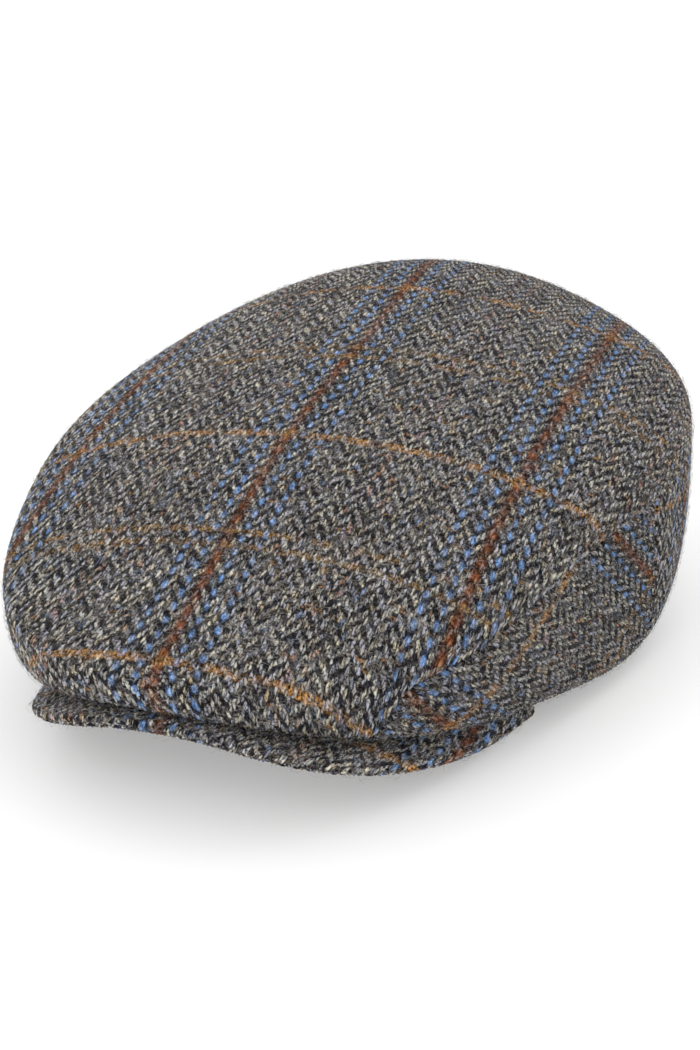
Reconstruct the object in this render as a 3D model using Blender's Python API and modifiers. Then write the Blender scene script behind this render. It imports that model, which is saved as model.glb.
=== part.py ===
"""A tweed flat cap at its real size, standing on its hem.

It is sewn from a top, two side panels, a back panel and a peak. Run it with blender --background --python
part.py. The front points to -Y, up is +Z, and +X is the wearer's left. The shape functions work in
millimetres from the centre of the head opening. Each mesh is scaled to metres when it is made, and moved so
that the origin lies under the middle of the whole cap.
"""

import math
from collections import namedtuple

import bmesh
import bpy
import numpy as np

MM = 0.001

# Centre of the head opening, seen from the point under the middle of the whole cap
OPENING_CENTRE = np.array([0.7, 1.9, 0.0])

# Cloth walls, and half of the slit left between two panels at a seam
CLOTH_THICKNESS = 1.8
HALF_SLIT = 0.42

# Head opening, measured on the outside of the cloth
OPENING_HALF_WIDTH = 84.0
OPENING_FRONT_LENGTH = 96.0
OPENING_BACK_LENGTH = 100.0
OPENING_ROUNDNESS = 2.1

# Hem height: it arches up over the peak and comes down to the floor at the sides. Round the back it dips
# below the floor, which trims it level, so that the cap stands on a flat foot there
HEM_FRONT_HEIGHT = 28.0
HEM_ARCH_RATE = 0.93
HEM_BACK_DIP = 1.6
FLOOR_CUTTER_SIZE = 300.0

# Sections of the crown, by angle from the front toward the wearer's left. The first two lengths place its
# widest line, by reach from the centre and height. The wall below it hangs straight down for a share of
# its height before it turns in. It meets the hem at a slope, in degrees, kept for a share of its span
Section = namedtuple("Section", "angle reach height hang run slope")
SECTIONS = (
    Section(0, 134.5, 41.0, 1.14, 0.90, 15),
    Section(30, 125.5, 39.5, 1.20, 0.67, -12),
    Section(60, 105.0, 52.0, 1.06, 0.37, 8),
    Section(90, 104.0, 57.0, 1.15, 0.38, 25),
    Section(120, 119.0, 63.5, 0.80, 0.40, 40),
    Section(150, 127.5, 59.5, 0.70, 0.40, 48),
    Section(180, 133.5, 56.0, 0.60, 0.40, 50),
    Section(210, 130.0, 57.0, 0.70, 0.40, 48),
    Section(240, 115.0, 59.5, 0.80, 0.40, 40),
    Section(270, 109.0, 56.5, 1.15, 0.38, 25),
    Section(300, 112.0, 47.0, 1.06, 0.37, 8),
    Section(330, 128.0, 40.5, 1.20, 0.67, -12),
)

# The top is a shallow dome, highest behind the centre, that rounds down to the widest line
DOME_HEIGHT = 114.0
DOME_SUMMIT_Y = 173.0
DOME_LENGTHWISE_RADIUS = 669.0
DOME_CROSSWISE_RADIUS = 327.0
SHOULDER_FRONT = 3.8
SHOULDER_BACK = 4.2

# Soft dents and swells of the top: place, then depth (a swell is negative) and spread
Dent = namedtuple("Dent", "x y depth spread")
DENTS = (
    Dent(-62, 28, 2.0, 30),
    Dent(58, 84, 2.5, 26),
)

# The seam round the top panel leaves the hem at the front corner and climbs to the widest line, which it
# then follows. The side panels end in upright seams
CORNER_ANGLE = 25.0
CORNER_TOP_ANGLE = 33.0
SIDE_SEAM_ANGLE = 93.5
CORNER_SHARE = 0.17
BACK_CORNER_SHARE = 1.57
FRONT_ROW_CROWDING = 1.5
TIP_SHARE = 0.05

# Peak: its root follows the hem, and its outer edge is a flattened arch whose ends stand on the floor. The
# powers set how square its front corners are, how fast it widens, and how its middle is arched
PEAK_THICKNESS = 3.6
PEAK_SLIT = 0.4
PEAK_END_ANGLE = 62.0
PEAK_HALF_WIDTH = 77.0
PEAK_END_Y = -40.8
PEAK_EDGE_Y = -137.5
PEAK_EDGE_HEIGHT = 28.4
PEAK_CORNER_POWER = 1.13
PEAK_WIDTH_POWER = 0.62
PEAK_ARCH_POWER = 2.07

# Cloth colours, as linear red, green and blue
TOP_COLOUR = (0.19, 0.17, 0.155)
SIDE_COLOUR = (0.16, 0.145, 0.135)
BACK_COLOUR = (0.14, 0.125, 0.12)
PEAK_COLOUR = (0.12, 0.108, 0.10)


def around(column, angle):
    """A column of the section table at any angle, by the closed wave through its equally spaced rows."""
    values = np.array([getattr(row, column) for row in SECTIONS])
    waves = np.fft.rfft(values) / len(values)
    total = np.full(np.shape(angle), waves[0].real)
    for order in range(1, len(waves)):
        share = 1.0 if 2 * order == len(values) else 2.0
        total = total + share * (waves[order] * np.exp(1j * order * angle)).real
    return total


def hem_line(angle):
    """Points of the hem: a rounded oval that arches up over the peak and dips a little at the back."""
    length = np.where(np.cos(angle) > 0, OPENING_FRONT_LENGTH, OPENING_BACK_LENGTH)
    along = (np.abs(np.cos(angle)) / length) ** OPENING_ROUNDNESS
    across = (np.abs(np.sin(angle)) / OPENING_HALF_WIDTH) ** OPENING_ROUNDNESS
    reach = (along + across) ** (-1 / OPENING_ROUNDNESS)
    turn = np.abs(np.arctan2(np.sin(angle), np.cos(angle))) * HEM_ARCH_RATE
    arch = np.cos(np.minimum(turn, math.pi / 2)) ** 2
    dip = np.sin(np.maximum(turn - math.pi / 2, 0)) ** 2
    height = HEM_FRONT_HEIGHT * arch - HEM_BACK_DIP * dip
    return np.stack([reach * np.sin(angle), -reach * np.cos(angle), height], axis=-1)


def top_point(angle, share):
    """Points of the top, from the centre (share 0) to the widest line (share 1): a round-shouldered dome."""
    power = SHOULDER_FRONT + (SHOULDER_BACK - SHOULDER_FRONT) * (1 - np.cos(angle)) / 2
    sine, cosine = np.sin(share * math.pi / 2), np.cos(share * math.pi / 2)
    size = (sine**power + cosine**power) ** (-1 / power)
    out, fall = size * sine, size * cosine
    reach = out * around("reach", angle)
    x, y = reach * np.sin(angle), -reach * np.cos(angle)
    edge = around("height", angle)
    behind = y - DOME_SUMMIT_Y
    dome = DOME_HEIGHT - behind**2 / (2 * DOME_LENGTHWISE_RADIUS) - x**2 / (2 * DOME_CROSSWISE_RADIUS)
    for dent in DENTS:
        distance = (x - dent.x) ** 2 + (y - dent.y) ** 2
        dome = dome - dent.depth * np.exp(-distance / (2 * dent.spread**2))
    return np.stack([x, y, edge + (dome - edge) * fall], axis=-1)


def wall_point(angle, share):
    """Points of the wall, a Bezier curve from the widest line (share 0) down and in to the hem (share 1)."""
    start = top_point(angle, np.ones_like(angle))
    end = hem_line(angle)
    hang, run = around("hang", angle), around("run", angle)
    slope = np.radians(around("slope", angle))
    outward = start - end
    drop = outward[..., 2]
    outward = outward * np.array([1.0, 1.0, 0.0])
    overhang = np.linalg.norm(outward, axis=-1)
    span = np.hypot(overhang, drop)
    upright = np.array([0.0, 0.0, 1.0])
    below = start - (hang * drop)[..., None] * upright
    level = (run * span * np.cos(slope) / overhang)[..., None] * outward
    beside = end + level + (run * span * np.sin(slope))[..., None] * upright
    share = share[..., None]
    return (
        (1 - share) ** 3 * start
        + 3 * (1 - share) ** 2 * share * below
        + 3 * (1 - share) * share**2 * beside
        + share**3 * end
    )


def crown_point(angle, path):
    """Points of the whole crown: path runs 0 at the centre, 1 at the widest line and 2 at the hem."""
    angle, path = np.broadcast_arrays(np.asarray(angle, float), np.asarray(path, float))
    top = top_point(angle, np.minimum(path, 1.0))
    wall = wall_point(angle, np.clip(path - 1.0, 0.0, 1.0))
    return np.where((path <= 1.0)[..., None], top, wall)


def seam(share):
    """Angle and path along the left seam of the top: share 0 at the hem, 1 at the upright side seam."""
    climb = np.clip(share / CORNER_SHARE, 0, 1) * math.pi / 2
    corner = CORNER_ANGLE + (CORNER_TOP_ANGLE - CORNER_ANGLE) * (1 - np.cos(climb))
    rate = (SIDE_SEAM_ANGLE - CORNER_TOP_ANGLE) / (1 - CORNER_SHARE)
    angle = corner + rate * np.maximum(share - CORNER_SHARE, 0)
    return np.radians(angle), 2 - np.sin(climb)


def on_chart(angle, path):
    """The flat chart of the crown: the centre is at its origin, the widest line at 1 and the hem at 2."""
    return np.stack([path * np.sin(angle), -path * np.cos(angle)], axis=-1)


def top_panel(u, v):
    """The top: a patch on the chart between the front hem, the two side seams and the back seam."""
    u, v = u + 0.5, (v + 0.5) ** FRONT_ROW_CROWDING
    corner, back_corner = math.radians(CORNER_ANGLE), seam(BACK_CORNER_SHARE)[0]
    side_angle, side_path = seam(v * BACK_CORNER_SHARE)
    left, right = on_chart(side_angle, side_path), on_chart(-side_angle, side_path)
    front = on_chart((2 * u - 1) * corner, np.full_like(u, 2.0))
    back = on_chart(math.pi - (2 * u - 1) * (math.pi - back_corner), np.ones_like(u))
    u, v = u[..., None], v[..., None]
    front_ends = (1 - u) * on_chart(-corner, 2.0) + u * on_chart(corner, 2.0)
    back_ends = (1 - u) * on_chart(-back_corner, 1.0) + u * on_chart(back_corner, 1.0)
    chart = (1 - v) * (front - front_ends) + v * (back - back_ends) + (1 - u) * right + u * left
    angle = np.arctan2(chart[..., 0], -chart[..., 1])
    return crown_point(angle, np.hypot(chart[..., 0], chart[..., 1]))


def side_panel(side):
    """A side panel, from the front corner back to its upright seam: side is 1 left, -1 right."""
    tip_lean = seam(TIP_SHARE)[0] - math.radians(CORNER_ANGLE)

    def points(u, v):
        u, v = side * u + 0.5, v + 0.5
        seam_angle, seam_path = seam(TIP_SHARE + (1 - TIP_SHARE) * u)
        angle = seam_angle - tip_lean * (1 - u) * (1 - v)
        return crown_point(side * angle, 2 + (seam_path - 2) * v)

    return points


def back_panel(u, v):
    """The back panel, from the left upright seam round the back to the right one."""
    angle = math.radians(SIDE_SEAM_ANGLE) + (u + 0.5) * math.radians(360 - 2 * SIDE_SEAM_ANGLE)
    return crown_point(angle, 1.5 - v)


def with_slits(surface):
    """The same surface with every edge but its hem drawn back, to leave slits at the seams."""
    step = 0.01

    def points(u, v):
        here = surface(u, v)
        along_u = np.linalg.norm(surface(np.where(u > 0, u - step, u + step), v) - here, axis=-1) / step
        along_v = np.linalg.norm(surface(u, np.where(v > 0, v - step, v + step)) - here, axis=-1) / step
        inner_u = np.clip(u, HALF_SLIT / along_u - 0.5, 0.5 - HALF_SLIT / along_u)
        inner_v = np.minimum(v, 0.5 - HALF_SLIT / along_v)
        return surface(inner_u, inner_v)

    return points


def peak_underside(u, v):
    """The peak's underside, from its root under the hem out to its edge."""
    across = 2 * u
    root = hem_line(across * math.radians(PEAK_END_ANGLE))
    root[..., 2] -= PEAK_THICKNESS + PEAK_SLIT
    bow = np.sign(across) * np.abs(np.sin(across * math.pi / 2)) ** PEAK_WIDTH_POWER
    forward = np.maximum(np.cos(across * math.pi / 2), 0) ** PEAK_CORNER_POWER
    edge = np.stack(
        [
            PEAK_HALF_WIDTH * bow,
            PEAK_END_Y + (PEAK_EDGE_Y - PEAK_END_Y) * forward,
            PEAK_EDGE_HEIGHT * (1 - np.abs(bow) ** PEAK_ARCH_POWER),
        ],
        axis=-1,
    )
    return root + (edge - root) * (v + 0.5)[..., None]


def make_material(name, colour):
    material = bpy.data.materials.new(name)
    material.use_nodes = True
    shader = material.node_tree.nodes["Principled BSDF"]
    shader.inputs["Base Color"].default_value = (*colour, 1.0)
    shader.inputs["Roughness"].default_value = 0.95
    shader.inputs["Metallic"].default_value = 0.0
    material.diffuse_color = (*colour, 1.0)
    return material


def make_shell(collection, name, surface, cells, thickness, colour):
    """A grid bent to a surface function, then thickened to a wall on the inner side of that surface."""
    grid = bmesh.new()
    bmesh.ops.create_grid(grid, x_segments=cells[0], y_segments=cells[1], size=0.5)
    places = np.array([vertex.co for vertex in grid.verts])
    for vertex, point in zip(grid.verts, surface(places[:, 0], places[:, 1])):
        vertex.co = (point + OPENING_CENTRE) * MM
    mesh = bpy.data.meshes.new(name)
    grid.to_mesh(mesh)
    grid.free()
    mesh.materials.append(make_material(name + "_tweed", colour))
    piece = bpy.data.objects.new(name, mesh)
    collection.objects.link(piece)
    wall = piece.modifiers.new("wall", "SOLIDIFY")
    wall.thickness = thickness * MM
    wall.offset = -1
    return piece


def make_floor_cutter(collection):
    """A flat block whose top is the floor."""
    block = bmesh.new()
    bmesh.ops.create_cube(block, size=FLOOR_CUTTER_SIZE * MM)
    bmesh.ops.translate(block, verts=block.verts, vec=(0, 0, -FLOOR_CUTTER_SIZE / 2 * MM))
    mesh = bpy.data.meshes.new("floor_cutter")
    block.to_mesh(mesh)
    block.free()
    cutter = bpy.data.objects.new("floor_cutter", mesh)
    cutter.hide_render = True
    cutter.display_type = "WIRE"
    collection.objects.link(cutter)
    return cutter


def make_collection(name):
    collection = bpy.data.collections.new(name)
    bpy.context.scene.collection.children.link(collection)
    return collection


def main():
    for existing in list(bpy.data.objects):
        bpy.data.objects.remove(existing)
    cap = make_collection("flat_cap")
    make_shell(cap, "crown_top", with_slits(top_panel), (36, 44), CLOTH_THICKNESS, TOP_COLOUR)
    make_shell(cap, "side_panel_left", with_slits(side_panel(1)), (26, 8), CLOTH_THICKNESS, SIDE_COLOUR)
    make_shell(cap, "side_panel_right", with_slits(side_panel(-1)), (26, 8), CLOTH_THICKNESS, SIDE_COLOUR)
    back = make_shell(cap, "back_panel", with_slits(back_panel), (44, 8), CLOTH_THICKNESS, BACK_COLOUR)
    make_shell(cap, "peak", peak_underside, (40, 5), PEAK_THICKNESS, PEAK_COLOUR)

    level_foot = back.modifiers.new("level_foot", "BOOLEAN")
    level_foot.operation = "DIFFERENCE"
    level_foot.object = make_floor_cutter(make_collection("cutters"))


main()
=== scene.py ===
"""The looks of a tweed flat cap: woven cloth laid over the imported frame, with its camera, light and floor.

The shape functions work in millimetres from the centre of the head opening, and each mesh is made in metres
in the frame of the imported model. Each panel is first flattened to the cloth it was cut from. A lattice that
follows the yarns, two columns of cells to a warp end and one row to a pick, is then laid back on the panel
and raised where a yarn passes over another. The material repeats the same interlacing for the colours and
the fine relief.
"""

import math
from collections import namedtuple

import bpy
import numpy as np
from mathutils import Matrix, Vector


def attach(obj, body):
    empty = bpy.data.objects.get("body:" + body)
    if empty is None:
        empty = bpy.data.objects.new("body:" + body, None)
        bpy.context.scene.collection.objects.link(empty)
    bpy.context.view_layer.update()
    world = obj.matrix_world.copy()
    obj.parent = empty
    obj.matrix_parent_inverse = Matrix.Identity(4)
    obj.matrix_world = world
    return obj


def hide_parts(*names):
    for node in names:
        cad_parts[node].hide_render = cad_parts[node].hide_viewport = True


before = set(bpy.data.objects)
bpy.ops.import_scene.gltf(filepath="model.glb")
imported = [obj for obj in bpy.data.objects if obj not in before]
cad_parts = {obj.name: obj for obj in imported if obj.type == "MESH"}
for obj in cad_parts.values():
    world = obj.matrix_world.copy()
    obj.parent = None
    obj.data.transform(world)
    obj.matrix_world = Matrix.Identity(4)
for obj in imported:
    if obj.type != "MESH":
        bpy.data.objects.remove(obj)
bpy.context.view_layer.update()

MM = 0.001

# Centre of the head opening, seen from the point under the middle of the whole cap
OPENING_CENTRE = np.array([0.7, 1.9, 0.0])

# Head opening, measured on the outside of the cloth
OPENING_HALF_WIDTH = 84.0
OPENING_FRONT_LENGTH = 96.0
OPENING_BACK_LENGTH = 100.0
OPENING_ROUNDNESS = 2.1

# Hem height: it arches up over the peak and comes down to the floor at the sides
HEM_FRONT_HEIGHT = 28.0
HEM_ARCH_RATE = 0.93

# Sections of the crown, by angle from the front toward the wearer's left. The first two lengths place its
# widest line, by reach from the centre and height. The wall below it hangs straight down for a share of its
# height before it turns in, and it meets the hem at a slope, in degrees, that it keeps for a share of its
# span
Section = namedtuple("Section", "angle reach height hang run slope")
SECTIONS = (
    Section(0, 134.5, 41.0, 1.14, 0.90, 15),
    Section(30, 125.5, 39.5, 1.20, 0.67, -12),
    Section(60, 105.0, 52.0, 1.06, 0.37, 8),
    Section(90, 104.0, 57.0, 1.15, 0.38, 25),
    Section(120, 119.0, 63.5, 0.80, 0.40, 40),
    Section(150, 127.5, 59.5, 0.70, 0.40, 48),
    Section(180, 133.5, 56.0, 0.60, 0.40, 50),
    Section(210, 130.0, 57.0, 0.70, 0.40, 48),
    Section(240, 115.0, 59.5, 0.80, 0.40, 40),
    Section(270, 109.0, 56.5, 1.15, 0.38, 25),
    Section(300, 112.0, 47.0, 1.06, 0.37, 8),
    Section(330, 128.0, 40.5, 1.20, 0.67, -12),
)

# The top is a shallow dome, highest behind the centre, that rounds down to the widest line
DOME_HEIGHT = 114.0
DOME_SUMMIT_Y = 173.0
DOME_LENGTHWISE_RADIUS = 669.0
DOME_CROSSWISE_RADIUS = 327.0
SHOULDER_FRONT = 3.8
SHOULDER_BACK = 4.2

# Soft dents of the top: place, depth and spread
Dent = namedtuple("Dent", "x y depth spread")
DENTS = (
    Dent(-62, 28, 2.0, 30),
    Dent(58, 84, 2.5, 26),
)

# The seam round the top panel, and the upright seams that end the side panels
CORNER_ANGLE = 25.0
CORNER_TOP_ANGLE = 33.0
SIDE_SEAM_ANGLE = 93.5
CORNER_SHARE = 0.17
BACK_CORNER_SHARE = 1.57
FRONT_ROW_CROWDING = 1.5
TIP_SHARE = 0.05

# Peak: its root follows the hem, and its outer edge is a flattened arch whose ends stand on the floor
PEAK_THICKNESS = 3.6
PEAK_SLIT = 0.4
PEAK_END_ANGLE = 62.0
PEAK_HALF_WIDTH = 77.0
PEAK_END_Y = -40.8
PEAK_EDGE_Y = -137.5
PEAK_EDGE_HEIGHT = 28.4
PEAK_CORNER_POWER = 1.13
PEAK_WIDTH_POWER = 0.62
PEAK_ARCH_POWER = 2.07

# The weave: a two-and-two twill that turns back every few ends, so that it makes herringbone
ENDS_IN_COLUMN = 4
TWILL_REPEAT = 4
HALF_REPEAT = TWILL_REPEAT / 2
ENDS_IN_CHECK = 72
PICKS_IN_CHECK = 72
END_PITCH = 78.3 / ENDS_IN_CHECK
PICK_PITCH = 97.5 / PICKS_IN_CHECK
YARN_RELIEF = 0.30

# Heights of the cloth as shares of its relief: on an end that is over or under the pick, and in the gap
# between two ends, of which both, one or neither is over
END_HEIGHTS = (1.0, 0.25)
GAP_HEIGHTS = (-1.0, -0.45, 0.4)

# How the cloth of the top was eased as it was shaped, in millimetres of cloth: its stripes bow sideways and
# bulge in one place, its width gathers toward the left, its picks sag over the front, and the middle of the
# front roll leans as it tucks under
STRIPE_SHIFT = 7.8
STRIPE_BOW = 0.00055
STRIPE_MIDDLE = 139.7
WIDTH_EASE = 0.00065
BULGE = 8.0
BULGE_PLACE = (-20.0, 108.7)
BULGE_SPREAD = (127.0, 78.0)
PICK_LIFT = 4.8
PICK_SAG = 0.0045
PICK_START = 14.7
PICK_REACH = 40.0
TUCK_START = 24.0
TUCK_LEAN = 0.3
TUCK_WIDTH = 30.0

# The cloth of a side is skewed, and that of the peak gathers toward its root
SIDE_SKEW = 0.27
PEAK_GATHER = (0.935, 0.0056)

# The loose fibres: the share of lattice points that carry one, how near a panel's edge, as u or v, and
# their lengths, arches, curl and widths
FIBRE_SEED = 8
FIBRE_SHARE = 0.2
FIBRE_LIMIT = 0.49
FIBRE_LENGTHS = (1.4, 4.2)
FIBRE_ARCHES = (0.1, 0.9)
FIBRE_CURL = 0.45
FIBRE_WIDTHS = (0.05, 0.07, 0.06, 0.015)

# The radius a panel's edge turns in with, and the depths that the body of the cloth lies between
SEAM_ROLL = 1.5
WALL_DEPTHS = (0.9, 1.9)

# The step in u or v that a slope is taken over, the least length that a normal is divided by, the slack for
# a point on the side of a triangle, and the rounds of unwrapping
SLOPE_STEP = 0.004
LEAST_LENGTH = 1e-9
SIDE_SLACK = 1e-6
UNWRAP_ROUNDS = 20

# Camera, fitted to the photograph
CAMERA_AZIMUTH = 24.76
CAMERA_ELEVATION = 22.54
CAMERA_ROLL = -2.69
CAMERA_DISTANCE = 616.2
CAMERA_TARGET = (0.7, 1.9, 45.0)
CAMERA_OFFSET = (0.1, -6.07)
CAMERA_LENS = 61.6
SENSOR_HEIGHT = 36.0


def around(column, angle):
    """A column of the section table at any angle, by the closed wave through its equally spaced rows."""
    values = np.array([getattr(row, column) for row in SECTIONS])
    waves = np.fft.rfft(values) / len(values)
    total = np.full(np.shape(angle), waves[0].real)
    for order in range(1, len(waves)):
        share = 1.0 if 2 * order == len(values) else 2.0
        total = total + share * (waves[order] * np.exp(1j * order * angle)).real
    return total


def hem_line(angle):
    """Points of the hem: a rounded oval that arches up over the peak."""
    length = np.where(np.cos(angle) > 0, OPENING_FRONT_LENGTH, OPENING_BACK_LENGTH)
    along = (np.abs(np.cos(angle)) / length) ** OPENING_ROUNDNESS
    across = (np.abs(np.sin(angle)) / OPENING_HALF_WIDTH) ** OPENING_ROUNDNESS
    reach = (along + across) ** (-1 / OPENING_ROUNDNESS)
    turn = np.abs(np.arctan2(np.sin(angle), np.cos(angle))) * HEM_ARCH_RATE
    height = HEM_FRONT_HEIGHT * np.cos(np.minimum(turn, math.pi / 2)) ** 2
    return np.stack([reach * np.sin(angle), -reach * np.cos(angle), height], axis=-1)


def top_point(angle, share):
    """Points of the top, from the centre (share 0) to the widest line (share 1): a round-shouldered dome."""
    power = SHOULDER_FRONT + (SHOULDER_BACK - SHOULDER_FRONT) * (1 - np.cos(angle)) / 2
    sine, cosine = np.sin(share * math.pi / 2), np.cos(share * math.pi / 2)
    size = (sine**power + cosine**power) ** (-1 / power)
    out, fall = size * sine, size * cosine
    reach = out * around("reach", angle)
    x, y = reach * np.sin(angle), -reach * np.cos(angle)
    edge = around("height", angle)
    behind = y - DOME_SUMMIT_Y
    dome = DOME_HEIGHT - behind**2 / (2 * DOME_LENGTHWISE_RADIUS) - x**2 / (2 * DOME_CROSSWISE_RADIUS)
    for dent in DENTS:
        distance = (x - dent.x) ** 2 + (y - dent.y) ** 2
        dome = dome - dent.depth * np.exp(-distance / (2 * dent.spread**2))
    return np.stack([x, y, edge + (dome - edge) * fall], axis=-1)


def wall_point(angle, share):
    """Points of the wall, from the widest line (share 0) down and in to the hem (share 1): a Bezier curve."""
    start = top_point(angle, np.ones_like(angle))
    end = hem_line(angle)
    hang, run = around("hang", angle), around("run", angle)
    slope = np.radians(around("slope", angle))
    outward = start - end
    drop = outward[..., 2]
    outward = outward * np.array([1.0, 1.0, 0.0])
    overhang = np.linalg.norm(outward, axis=-1)
    span = np.hypot(overhang, drop)
    upright = np.array([0.0, 0.0, 1.0])
    below = start - (hang * drop)[..., None] * upright
    level = (run * span * np.cos(slope) / overhang)[..., None] * outward
    beside = end + level + (run * span * np.sin(slope))[..., None] * upright
    share = share[..., None]
    return (
        (1 - share) ** 3 * start
        + 3 * (1 - share) ** 2 * share * below
        + 3 * (1 - share) * share**2 * beside
        + share**3 * end
    )


def crown_point(angle, path):
    """Points of the whole crown: path runs 0 at the centre, 1 at the widest line and 2 at the hem."""
    angle, path = np.broadcast_arrays(np.asarray(angle, float), np.asarray(path, float))
    top = top_point(angle, np.minimum(path, 1.0))
    wall = wall_point(angle, np.clip(path - 1.0, 0.0, 1.0))
    return np.where((path <= 1.0)[..., None], top, wall)


def seam(share):
    """Angle and path along the left seam of the top: share 0 at the hem, 1 at the upright side seam."""
    climb = np.clip(share / CORNER_SHARE, 0, 1) * math.pi / 2
    corner = CORNER_ANGLE + (CORNER_TOP_ANGLE - CORNER_ANGLE) * (1 - np.cos(climb))
    rate = (SIDE_SEAM_ANGLE - CORNER_TOP_ANGLE) / (1 - CORNER_SHARE)
    angle = corner + rate * np.maximum(share - CORNER_SHARE, 0)
    return np.radians(angle), 2 - np.sin(climb)


def on_chart(angle, path):
    """The flat chart of the crown: the centre is at its origin, the widest line at 1 and the hem at 2."""
    return np.stack([path * np.sin(angle), -path * np.cos(angle)], axis=-1)


def top_panel(u, v):
    """The top: a patch on the chart between the front hem, the two side seams and the back seam."""
    u, v = u + 0.5, (v + 0.5) ** FRONT_ROW_CROWDING
    corner, back_corner = math.radians(CORNER_ANGLE), seam(BACK_CORNER_SHARE)[0]
    side_angle, side_path = seam(v * BACK_CORNER_SHARE)
    left, right = on_chart(side_angle, side_path), on_chart(-side_angle, side_path)
    front = on_chart((2 * u - 1) * corner, np.full_like(u, 2.0))
    back = on_chart(math.pi - (2 * u - 1) * (math.pi - back_corner), np.ones_like(u))
    u, v = u[..., None], v[..., None]
    front_ends = (1 - u) * on_chart(-corner, 2.0) + u * on_chart(corner, 2.0)
    back_ends = (1 - u) * on_chart(-back_corner, 1.0) + u * on_chart(back_corner, 1.0)
    chart = (1 - v) * (front - front_ends) + v * (back - back_ends) + (1 - u) * right + u * left
    angle = np.arctan2(chart[..., 0], -chart[..., 1])
    return crown_point(angle, np.hypot(chart[..., 0], chart[..., 1]))


def side_panel(side):
    """A side panel, from the front corner back to the upright seam: side is 1 for left and -1 for right."""
    tip_lean = seam(TIP_SHARE)[0] - math.radians(CORNER_ANGLE)

    def points(u, v):
        u, v = side * u + 0.5, v + 0.5
        seam_angle, seam_path = seam(TIP_SHARE + (1 - TIP_SHARE) * u)
        angle = seam_angle - tip_lean * (1 - u) * (1 - v)
        return crown_point(side * angle, 2 + (seam_path - 2) * v)

    return points


def back_panel(u, v):
    """The back panel, from the left upright seam round the back to the right one."""
    angle = math.radians(SIDE_SEAM_ANGLE) + (u + 0.5) * math.radians(360 - 2 * SIDE_SEAM_ANGLE)
    return crown_point(angle, 1.5 - v)


def peak_underside(u, v):
    """The peak's underside, from its root under the hem out to its edge: u runs toward the wearer's right."""
    across = -np.sign(u) * np.abs(2 * u) ** (1 / PEAK_WIDTH_POWER)
    root = hem_line(across * math.radians(PEAK_END_ANGLE))
    root[..., 2] -= PEAK_THICKNESS + PEAK_SLIT
    bow = np.sign(across) * np.abs(np.sin(across * math.pi / 2)) ** PEAK_WIDTH_POWER
    forward = np.maximum(np.cos(across * math.pi / 2), 0) ** PEAK_CORNER_POWER
    edge = np.stack(
        [
            PEAK_HALF_WIDTH * bow,
            PEAK_END_Y + (PEAK_EDGE_Y - PEAK_END_Y) * forward,
            PEAK_EDGE_HEIGHT * (1 - np.abs(bow) ** PEAK_ARCH_POWER),
        ],
        axis=-1,
    )
    return root + (edge - root) * (v + 0.5)[..., None]


# The radius of the peak's round edge, the most that it may be of the peak's own length, and how far round
# that edge the upper cloth reaches
PEAK_ROUND = PEAK_THICKNESS / 2
PEAK_ROUND_SHARE = 0.45
PEAK_TURN = 0.7 * math.pi


def peak_section(u, travel_share, start, end):
    """Points round the peak's section, at a share of the way between two places on the path over its edge.

    The path runs from the root along the upper face, round the edge and back along the underside.
    """
    root, edge = peak_underside(u, np.full_like(u, -0.5)), peak_underside(u, np.full_like(u, 0.5))
    outward = edge - root
    length = np.linalg.norm(outward, axis=-1)
    outward = outward / length[..., None]
    upward = surface_normal(peak_underside, u, np.zeros_like(u))
    slim = np.minimum(PEAK_ROUND, PEAK_ROUND_SHARE * length)
    flat = length - slim
    places = {"root": 0 * flat, "turn": flat + PEAK_TURN * slim, "back": 2 * flat + math.pi * slim}
    travel = places[start] + (places[end] - places[start]) * travel_share
    turned = np.clip((travel - flat) / slim, 0, math.pi)
    beyond = np.maximum(travel - flat - math.pi * slim, 0)
    out = np.minimum(travel, flat) + slim * np.sin(turned) - beyond
    up = PEAK_THICKNESS - slim + slim * np.cos(turned)
    return root + out[..., None] * outward + up[..., None] * upward


def peak_upper(u, v):
    return peak_section(u, v + 0.5, "root", "turn")


def peak_lower(u, v):
    return peak_section(u, v + 0.5, "turn", "back")


def surface_steps(surface, u, v):
    """The surface's rates of change along u and v, taken inside its edges."""
    u0, u1 = np.clip(u - SLOPE_STEP, -0.5, 0.5), np.clip(u + SLOPE_STEP, -0.5, 0.5)
    v0, v1 = np.clip(v - SLOPE_STEP, -0.5, 0.5), np.clip(v + SLOPE_STEP, -0.5, 0.5)
    along_u = (surface(u1, v) - surface(u0, v)) / (u1 - u0)[..., None]
    along_v = (surface(u, v1) - surface(u, v0)) / (v1 - v0)[..., None]
    return along_u, along_v


def surface_normal(surface, u, v):
    along_u, along_v = surface_steps(surface, u, v)
    normal = np.cross(along_u, along_v)
    return normal / np.maximum(np.linalg.norm(normal, axis=-1), LEAST_LENGTH)[..., None]


# A panel: its surface, the cells it is flattened with, and how the cloth lies on it. Two places, as u and v,
# lie on a rust stripe, the first of them in front, and one lies on an orange pick
Panel = namedtuple("Panel", "surface cells stripe_front stripe_back pick_place eased")


def eased_top(x, y):
    """The cloth of the top as its stripes and picks run, from where they would run on an unshaped cut."""
    tuck = TUCK_LEAN * np.maximum(TUCK_START - y, 0) * np.exp(-((x / TUCK_WIDTH) ** 2))
    x = x - tuck - STRIPE_SHIFT + STRIPE_BOW * (y - STRIPE_MIDDLE) ** 2
    start = np.exp(-np.maximum(y - PICK_START, -PICK_REACH) / PICK_REACH)
    bulge = ((x - BULGE_PLACE[0]) / BULGE_SPREAD[0]) ** 2 + ((y - BULGE_PLACE[1]) / BULGE_SPREAD[1]) ** 2
    across = x + WIDTH_EASE * x**2 + BULGE * np.exp(-bulge)
    return across, y - (PICK_LIFT - PICK_SAG * x**2) * start


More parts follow.
